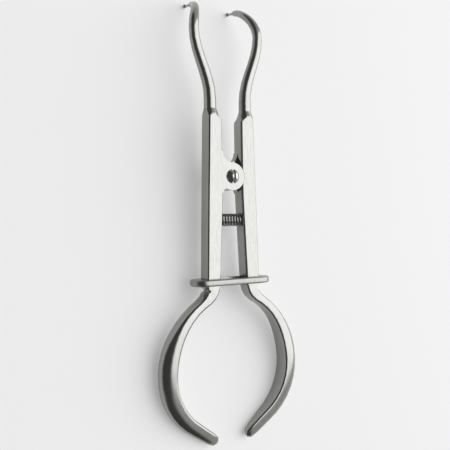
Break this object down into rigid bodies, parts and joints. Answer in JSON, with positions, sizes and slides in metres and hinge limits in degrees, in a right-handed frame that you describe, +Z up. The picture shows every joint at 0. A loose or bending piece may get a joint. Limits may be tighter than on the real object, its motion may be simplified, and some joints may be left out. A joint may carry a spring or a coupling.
{
  "type": "rubber dam clamp forceps",
  "caption": "Spring-opened dental forceps with bent beaks ending in ball tips, bow handles, and a flat ring that slides along the shanks to lock them.",
  "frame": {"origin": "on the surface the forceps lies on, under the middle of its outline", "axes": "+Y from the handles to the tips, +Z up through the front face, +X to the right with the tips pointing away"},
  "size_m": [0.0622, 0.1778, 0.0178],
  "materials": {
    "satin_steel": "ground lengthwise, polished edges and beaks",
    "polished_steel": "polished",
    "spring_wire": "drawn wire"
  },
  "bodies": {
    "left_arm": {"left_arm": "satin_steel", "spring": "spring_wire"},
    "right_arm": {"right_arm": "satin_steel", "pivot_screw": "polished_steel"},
    "sliding_ring": {"sliding_ring": "polished_steel"}
  },
  "joints": [
    {"name": "squeeze", "type": "hinge", "parent": "left_arm", "child": "right_arm", "pos_m": [0, 0.01566, 0.01145], "axis": [0, 0.0797, -0.9968], "range_deg": [0, 6.8], "stiffness_Nm_per_rad": 0.95, "springref_deg": -4.58, "deforming": ["spring"]},
    {"name": "ring_slide", "type": "slide", "parent": "left_arm", "child": "sliding_ring", "axis": [0, 0.9968, 0.0797], "range_m": [0, 0.036]}
  ]
}
